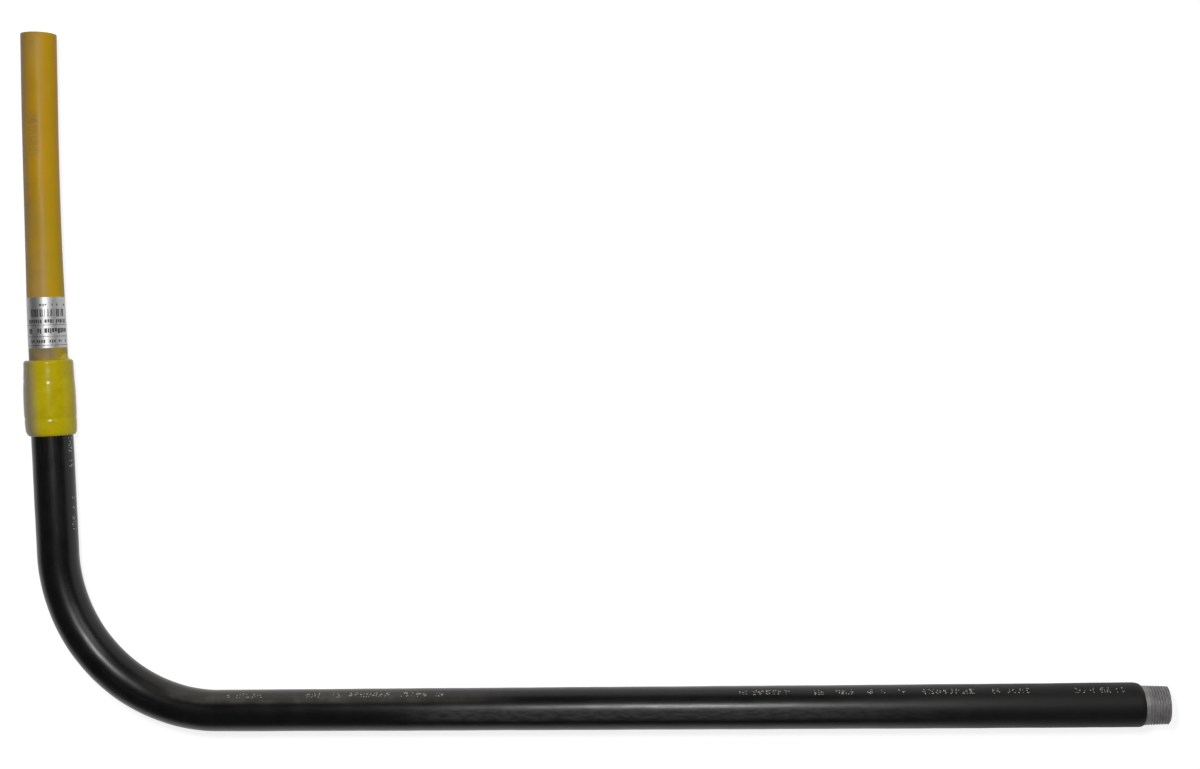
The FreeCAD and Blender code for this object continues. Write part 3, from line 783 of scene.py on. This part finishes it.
class ELBOW_OT_joint_cover(Builder, bpy.types.Operator):
    """Yellow cover with its rim, crimp marks, rounded shoulder and the run of material up the stub"""

    bl_idname = "elbow.joint_cover"
    bl_label = "Joint cover"

    # Heights and radii of the outline, and heights of the crimp marks and their shares of the dent
    OUTLINE = ((260.6, 20.55), (261.6, 21.35), (263.2, 21.95), (265.4, 22.25), (268.7, 22.45), (276.0, 22.62),
               (289.0, 22.72), (300.0, 22.62), (308.0, 22.42), (318.0, 22.05), (325.0, 21.86), (327.8, 21.90))
    CRIMPS = ((276.7, 1.55), (311.5, 0.8))

    def build(self, scene):
        size, given = scene.elbow_size, scene.elbow_cover
        sides = 160
        turns = around(sides)
        knots, radii = np.array(self.OUTLINE).T * MM
        profile = curve_through(knots, radii)
        outer_side = np.clip(-np.cos(turns), 0.0, 1.0) ** 0.7
        bottom = height(size.cover_bottom)
        rings = [(bottom, given.coat_clearance), (bottom, given.skirt_radius)]
        for level in spaced(knots[0] + 0.1 * MM, knots[-1], 0.45 * MM):
            radius = profile(level)
            for crimp, deep in self.CRIMPS:
                radius -= deep * given.dent * math.exp(-((level - crimp * MM) / (1.9 * MM)) ** 2)
            way = (level - knots[0]) / (knots[-1] - knots[0])
            swell = (0.65 + 0.75 * math.sin(math.pi * way ** 0.7)) * MM * min(1.0, way / 0.06)
            rings.append((height(level), radius + swell * outer_side))
        top, stub = size.cover_top, scene.elbow_stub.radius + scene.elbow_stub.flare + 0.03 * MM
        rim, edge = radii[-1] + swell * outer_side, 2.2 * MM
        away = (turns - given.run_angle + math.pi) % TURN - math.pi
        run_up = given.run_height * np.exp(-np.abs(away / given.run_width) ** 3)
        for step in range(1, 7):
            t = step / 7 * math.pi / 2
            rings.append((height(knots[-1] + (top - knots[-1]) * math.sin(t)), rim - edge * (1 - math.cos(t))))
        inside = rim - edge
        for step in range(13):
            t = step / 12
            rings.append((height(top) + run_up * t ** 2.2, inside + (stub - inside) * (1 - (1 - t) ** 1.15)))
        rings.append((height(top - 2.6 * MM), stub))
        for level, radius in ((328.1, given.sleeve_upper), (296.0, given.sleeve_upper),
                              (291.0, given.sleeve_lower), (265.4, given.sleeve_lower),
                              (265.0, given.coat_clearance)):
            rings.append((height(level * MM), radius))
        dress(sweep("cover", rings, sides, 60.0), cover_material(), "joint_cover")


class ELBOW_OT_stub(Builder, bpy.types.Operator):
    """Ochre stub, slightly curved, with a deburred free end"""

    bl_idname = "elbow.stub"
    bl_label = "Plastic stub"

    def build(self, scene):
        size, given = scene.elbow_size, scene.elbow_stub
        sides = 112
        turns = around(sides)
        bottom = height(0.285)
        end = height(size.set_start) + size.set_length + size.stub_straight
        bite = 0.5 * MM

        def surface(station):
            return stub_surface(station) + 0.03 * MM * np.sin(station * 60 + 2 * turns)

        rings = [(bottom, given.bore_radius + bite), (bottom, given.radius - bite)]
        rings += [(height(level * MM), given.radius - bite) for level in (292.0, 327.0)]
        rings += [(station, surface(station)) for station in spaced(height(0.328), end - 0.7 * MM, 5 * MM)]
        rings += [(end - 0.5 * MM, given.radius - 0.06 * MM), (end - 0.12 * MM, given.radius - 0.3 * MM),
                  (end, given.radius - 0.62 * MM), (end, given.bore_radius + 0.35 * MM),
                  (end - 0.35 * MM, given.bore_radius)]
        rings += [(station, given.bore_radius) for station in spaced(end - 6 * MM, height(0.330), 20 * MM)]
        rings += [(height(0.326), given.bore_radius + bite)]
        dress(sweep("stub", rings, sides, 40.0), stub_material(), "stub_pipe")


class ELBOW_OT_label(Builder, bpy.types.Operator):
    """Foil label round the stub, open underneath, slightly rippled"""

    bl_idname = "elbow.label"
    bl_label = "Foil label"

    def build(self, scene):
        given = scene.elbow_label
        bottom, top = height(given.bottom), height(given.bottom + given.height)
        columns, rows = 120, 40
        open_at = -math.pi / 2
        turns = np.linspace(open_at + given.opening, open_at + TURN - given.opening, columns + 1)
        stations = np.linspace(bottom, top, rows + 1)
        grid_s, grid_t = np.meshgrid(stations, turns, indexing="ij")
        waves = np.sin(grid_s * 310 + 1.3 * np.sin(grid_t * 2)) * np.sin(grid_t * 3 + 0.7)
        run = make_run()
        inner = stub_surface(grid_s) + given.glue + given.ripple * (0.5 + 0.5 * waves)
        layers = [inner, inner + given.foil]
        points = np.concatenate([run.place(grid_s, layer, grid_t).reshape(-1, 3) for layer in layers])
        straight = np.concatenate([np.stack([layer * np.cos(grid_t), layer * np.sin(grid_t), grid_s],
                                            axis=-1).reshape(-1, 3) for layer in layers])
        width, count = columns + 1, (rows + 1) * (columns + 1)
        faces = []
        for row in range(rows):
            for k in range(columns):
                a, b = row * width + k, row * width + k + 1
                faces.append((a, b, b + width, a + width))
                faces.append((count + a, count + a + width, count + b + width, count + b))
        border = list(range(width)) + [row * width + columns for row in range(1, rows + 1)]
        border += [rows * width + k for k in reversed(range(columns))]
        border += [row * width for row in reversed(range(1, rows))]
        for a, b in zip(border, border[1:] + border[:1]):
            faces.append((a, a + count, b + count, b))
        dress(new_piece("label", points, faces, straight), foil_material(), "foil_label")


class ELBOW_OT_label_print(Builder, bpy.types.Operator):
    """Rows of plain dashes, bars and rules on the label"""

    bl_idname = "elbow.label_print"
    bl_label = "Print on the label"

    # Lowest and highest level of each row in millimetres, range of a mark's width in degrees, and gap
    ROWS = ((380.6, 382.6, (2.5, 7.0), 3.0, 0.45), (364.6, 368.3, (2.0, 6.0), 2.2, 0.85),
            (355.1, 360.0, (3.5, 8.0), 2.0, 0.92), (346.5, 349.4, (2.0, 6.0), 2.6, 0.75))
    BARS = ((-50, -45), (-43.5, -40), (-38, -31), (-29.5, -25), (-20, -16), (-14, -11), (-6, -4.6), (3, 6),
            (10.8, 12.4), (14, 17.4), (22, 23.5), (29.5, 33), (34.5, 39), (44, 45.5), (49, 52), (53.5, 58))
    RULES = (363.1, 352.6, 344.4)
    FRONT = math.radians(64.0)  # angle of the print's middle from the inside of the bend

    def build(self, scene):
        given = scene.elbow_label
        lift = given.glue + given.foil + given.ripple
        draw = random.Random(given.seed)
        run = make_run()
        points, faces, straight = [], [], []

        def mark(low, high, first, last, columns):
            surface = float(stub_surface(height((low + high) / 2 * MM))) + lift
            patch(run, points, faces, straight, (height(low * MM), height(high * MM)),
                  (self.FRONT - math.radians(last), self.FRONT - math.radians(first)),
                  (surface - 0.00006, surface + 0.00003), columns)

        for low, high, widths, gap, ink in self.ROWS:
            place = -62.0
            while place < 66.0:
                width = draw.uniform(*widths)
                if draw.random() < ink:
                    trim = draw.uniform(0.0, 0.35) * (high - low)
                    mark(low + trim * draw.randint(0, 1), high, place, place + width, 3)
                place += width + gap
        for first, last in self.BARS:
            mark(370.8, 377.8, first, last, 3)
        for level in self.RULES:
            mark(level - 0.22, level + 0.22, -72.0, 78.0, 30)
        piece = new_piece("label_print", np.array(points), faces, np.array(straight))
        dress(piece, ink_material("dark_ink", given.ink, 0.0), None)


class ELBOW_OT_inner_pieces(Builder, bpy.types.Operator):
    """Finishes of the pieces inside the joint, which keep their packed solids"""

    bl_idname = "elbow.inner_pieces"
    bl_label = "Pieces inside the joint"

    FINISHES = {
        "spigot_nipple": ("turned_steel", (0.40, 0.40, 0.41), 1.0, 0.34, 300.0),
        "weld_bead": ("dressed_weld", (0.26, 0.25, 0.25), 0.9, 0.55, 600.0),
        "sealing_ring_lower": ("seal_rubber", (0.015, 0.015, 0.016), 0.0, 0.5, 400.0),
        "sealing_ring_upper": ("seal_rubber", (0.015, 0.015, 0.016), 0.0, 0.5, 400.0),
        "crimp_sleeve": ("zinc_plate", (0.58, 0.58, 0.56), 1.0, 0.3, 120.0),
    }

    def build(self, scene):
        for node, (name, *finish) in self.FINISHES.items():
            material = bpy.data.materials.get(name) or inner_material(name, *finish)
            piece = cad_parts[node]
            for slot in piece.material_slots:
                slot.material = material
            if not piece.material_slots:
                raise RuntimeError(f"{node} has no material slot")


class ELBOW_OT_studio(Builder, bpy.types.Operator):
    """Pale floor, soft lamps and the camera"""

    bl_idname = "elbow.studio"
    bl_label = "Studio"

    def build(self, scene):
        given = scene.elbow_studio
        scene.view_settings.view_transform = "Standard"
        self.add_camera(scene, given)
        self.add_floor(given)
        self.add_lamp("key_lamp", (-0.54, 0.61, 1.40), (-0.55, 0.20, 0.0), 0.22, given.key_power)
        self.add_lamp("side_lamp", (0.75, 1.35, 1.75), (-0.90, 0.35, 0.0), 1.1, given.side_power)
        self.add_world(scene, given)

    def add_camera(self, scene, given):
        camera = new_object("camera", bpy.data.cameras.new("camera"))
        camera.data.lens = given.lens
        camera.data.sensor_width = 36.0
        camera.data.sensor_fit = "HORIZONTAL"
        camera.rotation_mode = "ZYX"
        camera.rotation_euler = [math.radians(a) for a in (-2.392, 7.026, -1.759)]
        camera.location = (-0.3094, 0.3510, 1.4133)
        scene.camera = camera

    def add_lamp(self, name, place, aim, size, power):
        lamp = bpy.data.lights.new(name, "AREA")
        lamp.shape = "DISK"
        lamp.size = size
        lamp.energy = power
        holder = new_object(name, lamp)
        holder.location = place
        holder.rotation_euler = (Vector(aim) - Vector(place)).to_track_quat("-Z", "Y").to_euler()

    def add_floor(self, given):
        reach, brightness = 4.0, 0.84
        mesh = bpy.data.meshes.new("floor")
        corners = [(-reach, -reach), (reach, -reach), (reach, reach), (-reach, reach)]
        mesh.from_pydata([(x - 0.5, y + 0.3, given.floor) for x, y in corners], [], [(0, 1, 2, 3)])
        floor = new_object("floor", mesh)
        material = bpy.data.materials.new("pale_floor")
        material.use_nodes = True
        nodes = Nodes(material.node_tree)
        shader = material.node_tree.nodes["Principled BSDF"]
        shader.inputs["Base Color"].default_value = (0.3, 0.3, 0.3, 1.0)
        shader.inputs["Roughness"].default_value = 0.9
        rays = nodes.add("ShaderNodeLightPath").outputs
        seen = nodes.sum(nodes.sum(rays["Is Camera Ray"], rays["Is Glossy Ray"]), rays["Is Transmission Ray"])
        seen = nodes.add("ShaderNodeMath", {0: seen, 1: brightness}, operation="MULTIPLY", use_clamp=True)
        finish(material, Emission_Strength=seen.outputs[0])
        shader.inputs["Emission Color"].default_value = (1.0, 1.0, 1.0, 1.0)
        floor.data.materials.append(material)

    def add_world(self, scene, given):
        world = bpy.data.worlds.new("studio")
        world.use_nodes = True
        nodes = Nodes(world.node_tree)
        rays = nodes.add("ShaderNodeLightPath").outputs
        towards = nodes.add("ShaderNodeTexCoord").outputs["Generated"]
        rise = nodes.split(towards)[2]
        seen = nodes.sum(rays["Is Camera Ray"], rays["Is Transmission Ray"])
        backdrop = nodes.sum(nodes.times(seen, nodes.remap(rise, 0.15, 0.45, 1.0, 0.0)),
                             nodes.times(rays["Is Glossy Ray"], nodes.remap(rise, 0.02, 0.14, 1.0, 0.0)))
        strength = nodes.remap(backdrop, 0.0, 1.0, given.world, 1.0, smooth=False)
        background = world.node_tree.nodes["Background"]
        background.inputs["Color"].default_value = (1.0, 1.0, 1.0, 1.0)
        world.node_tree.links.new(strength, background.inputs["Strength"])
        scene.world = world


class ELBOW_PT_panel(bpy.types.Panel):
    """Lists the pieces of the elbow"""

    bl_label = "Threaded gas elbow"
    bl_idname = "ELBOW_PT_panel"
    bl_space_type = "VIEW_3D"
    bl_region_type = "UI"
    bl_category = "Elbow"

    def draw(self, context):
        for operator in OPERATORS:
            self.layout.operator(operator.bl_idname)
        for name, group in SETTINGS.items():
            box = self.layout.box()
            box.label(text=group.__doc__)
            for setting in group.__annotations__:
                box.prop(getattr(context.scene, name), setting)


SETTINGS = {
    "elbow_size": ElbowSize,
    "elbow_thread": ThreadSettings,
    "elbow_coat": CoatSettings,
    "elbow_print": PrintSettings,
    "elbow_cover": CoverSettings,
    "elbow_stub": StubSettings,
    "elbow_label": LabelSettings,
    "elbow_studio": StudioSettings,
}
OPERATORS = (
    ELBOW_OT_studio,
    ELBOW_OT_steel_pipe,
    ELBOW_OT_coat,
    ELBOW_OT_coat_marks,
    ELBOW_OT_joint_cover,
    ELBOW_OT_stub,
    ELBOW_OT_label,
    ELBOW_OT_label_print,
    ELBOW_OT_inner_pieces,
)


def register():
    for name, group in SETTINGS.items():
        bpy.utils.register_class(group)
        setattr(bpy.types.Scene, name, PointerProperty(type=group))
    for operator in OPERATORS:
        bpy.utils.register_class(operator)
    bpy.utils.register_class(ELBOW_PT_panel)


def unregister():
    bpy.utils.unregister_class(ELBOW_PT_panel)
    for operator in reversed(OPERATORS):
        bpy.utils.unregister_class(operator)
    for name, group in reversed(SETTINGS.items()):
        delattr(bpy.types.Scene, name)
        bpy.utils.unregister_class(group)


def main():
    register()
    for operator in OPERATORS:
        group, name = operator.bl_idname.split(".")
        getattr(getattr(bpy.ops, group), name)()


if __name__ == "__main__":
    main()
